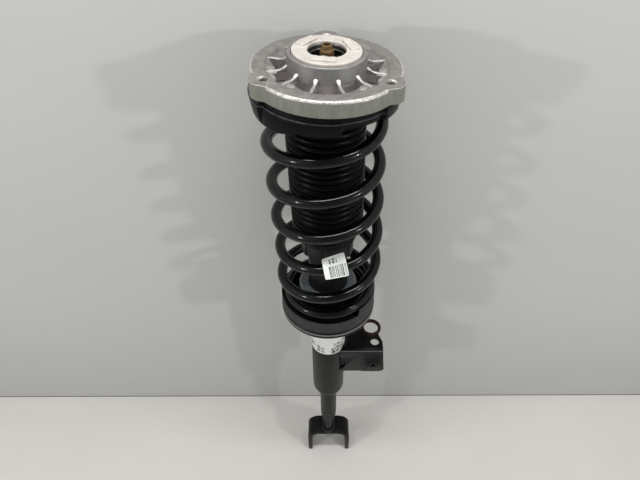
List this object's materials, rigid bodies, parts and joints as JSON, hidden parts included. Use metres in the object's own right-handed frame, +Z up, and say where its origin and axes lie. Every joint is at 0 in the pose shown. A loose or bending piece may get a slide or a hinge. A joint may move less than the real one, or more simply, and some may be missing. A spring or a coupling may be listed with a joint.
{
  "type": "coil-over suspension strut assembly",
  "caption": "Coil-over suspension strut with a cast top mount, coil spring, ribbed dust boot, gas damper, spring perch, side hose bracket and a bolted bottom fork.",
  "frame": {"origin": "centre of the top mount's seating plane, on the strut's axis", "axes": "+Z up along the strut's axis, out of the top mount; +X towards the side bracket; the fork's bolt runs along X"},
  "size_m": [0.165, 0.1568, 0.815],
  "materials": {
    "cast_aluminium": "as cast, matt",
    "pale_disc": "pale, satin",
    "bright_steel": "zinc plated",
    "rusty_steel": "rusty thread and socket, chromed below",
    "black_rubber": "matt",
    "boot_rubber": "satin",
    "pad_rubber": "matt dark grey",
    "stop_foam": "cellular",
    "gloss_black_coat": "gloss powder coat",
    "satin_black_paint": "satin paint",
    "dark_paint": "satin paint",
    "weld_bead": "painted weld",
    "black_plastic": "moulded",
    "band_bronze": "filled bearing strip"
  },
  "bodies": {
    "top_mount": {"top_mount_casting": "cast_aluminium", "mount_cap_disc": "pale_disc", "mount_rubber_bush": "black_rubber", "mount_inner_sleeve": "bright_steel", "rod_washer": "bright_steel", "rod_nut": "bright_steel", "piston_rod": "rusty_steel", "bump_stop_cup": "dark_paint", "bump_stop": "stop_foam", "rebound_stop": "black_rubber", "rebound_collar": "bright_steel", "upper_shims": "bright_steel", "piston": "bright_steel", "piston_band": "band_bronze", "lower_shims": "bright_steel", "piston_nut": "bright_steel", "upper_spring_pad": "black_rubber", "coil_spring": "gloss_black_coat", "dust_boot": "boot_rubber"},
    "damper": {"damper_tube": "satin_black_paint", "rod_seal": "black_rubber", "rod_guide": "bright_steel", "tube_cap": "black_plastic", "stem_tube": "satin_black_paint", "stem_weld": "weld_bead", "fork": "satin_black_paint", "fork_weld": "weld_bead", "lower_spring_perch": "dark_paint", "perch_weld": "weld_bead", "lower_spring_pad": "pad_rubber", "hose_bracket": "dark_paint", "bracket_nut": "bright_steel", "bracket_weld": "weld_bead"},
    "gas_piston": {"gas_piston": "bright_steel", "gas_piston_seal": "black_rubber"}
  },
  "joints": [
    {"name": "strut_travel", "type": "slide", "parent": "top_mount", "child": "damper", "axis": [0, 0, 1], "range_m": [0, 0.12], "stiffness_N_per_m": 30000, "springref_m": -0.03, "deforming": ["coil_spring", "dust_boot", "bump_stop"]},
    {"name": "gas_piston_slide", "type": "slide", "parent": "damper", "child": "gas_piston", "axis": [0, 0, -1], "range_m": [0, 0.019]}
  ],
  "couplings": [
    {"joint": "gas_piston_slide", "follows": "strut_travel", "ratio": 0.1531}
  ]
}
